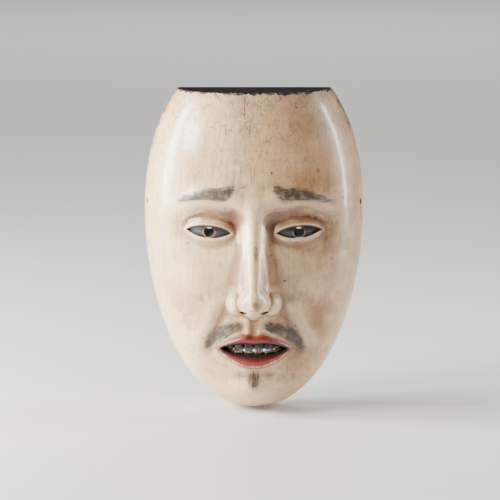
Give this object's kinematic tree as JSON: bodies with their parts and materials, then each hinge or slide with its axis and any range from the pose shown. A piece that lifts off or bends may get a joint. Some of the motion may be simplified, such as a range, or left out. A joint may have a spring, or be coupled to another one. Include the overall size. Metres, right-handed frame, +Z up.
{
  "type": "noh mask",
  "caption": "Carved theatre mask with an oval shell-white face, flat black top edge, pierced eyes, parted mouth with blackened teeth, a lacquered hollow, side cord holes and pads.",
  "frame": {"origin": "midway between the two cord holes, on the plane of the back rim, where the wearer's face meets the mask", "axes": "+Z up the forehead, the face looks along -Y, +X to the right as seen from the front"},
  "size_m": [0.14, 0.0729, 0.2048],
  "materials": {
    "cypress": "bare carved hinoki cypress",
    "shell_white": "aged shell-white ground and paint, rubbed to a satin",
    "hollow_lacquer": "thin brown-black lacquer over tool marks",
    "black_lacquer": "black lacquer, worn at the edges",
    "tooth_black": "blackened teeth with worn edges",
    "pad_cloth": "plain woven cotton"
  },
  "bodies": {
    "root": {"wood_body": "cypress", "gofun_face": "shell_white", "hollow_lacquer": "hollow_lacquer", "top_edge_lacquer": "black_lacquer", "upper_teeth": "tooth_black", "lower_teeth": "tooth_black", "forehead_pad": "pad_cloth", "left_cheek_pad": "pad_cloth", "right_cheek_pad": "pad_cloth"}
  },
  "joints": []
}
